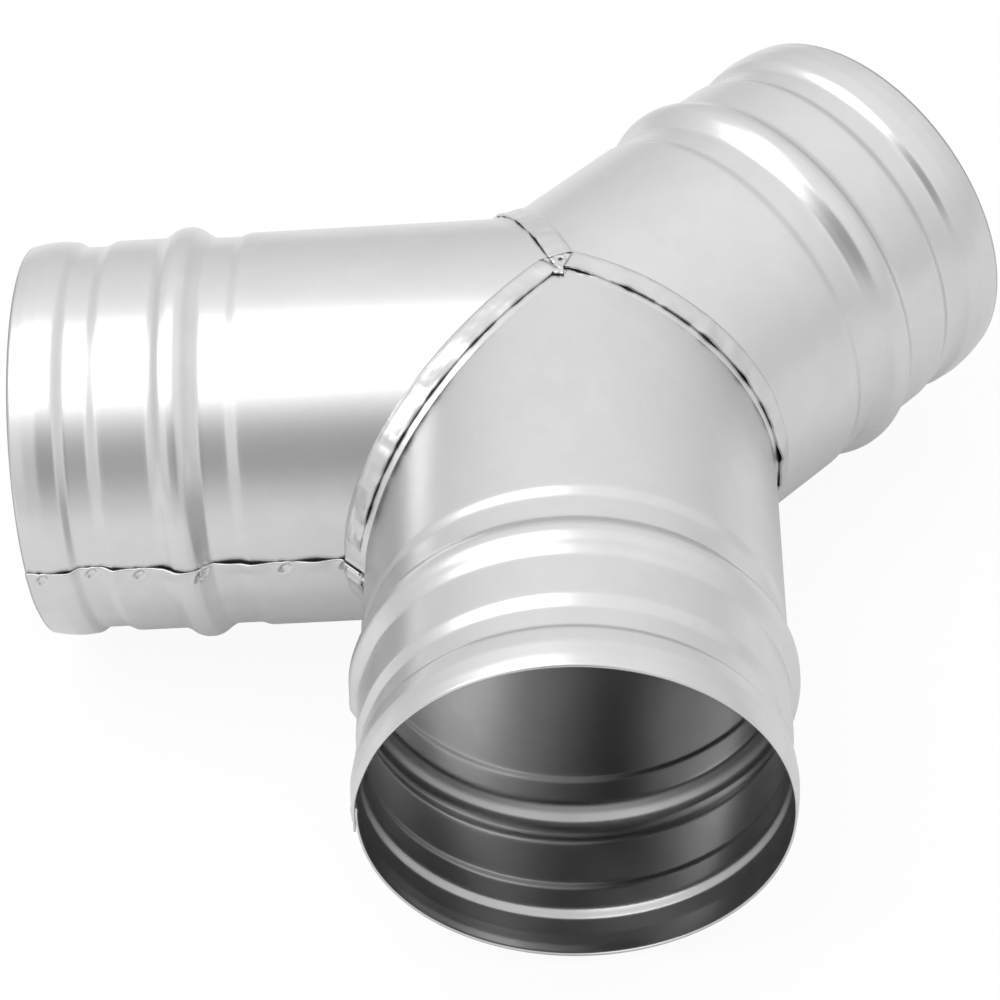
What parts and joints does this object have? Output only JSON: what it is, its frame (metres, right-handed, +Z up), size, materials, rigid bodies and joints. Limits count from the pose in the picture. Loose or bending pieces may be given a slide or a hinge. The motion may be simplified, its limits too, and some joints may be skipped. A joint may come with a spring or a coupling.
{
  "type": "duct y branch",
  "caption": "Round sheet-metal duct Y: two branches at a right angle join a main arm, mitred and lapped, with beaded open ends.",
  "frame": {"origin": "under the middle of the part's bounding box, on the ground plane that the stop beads touch", "axes": "+Y along the main arm towards its open end, +Z up, square to the plane of the three axes, +X to the right branch's side"},
  "size_m": [0.261, 0.2378, 0.1044],
  "materials": {
    "galvanised_sheet": "galvanised sheet steel, satin, faint spangle"
  },
  "bodies": {
    "root": {"main_arm": "galvanised_sheet", "left_branch": "galvanised_sheet", "right_branch": "galvanised_sheet"}
  },
  "joints": []
}
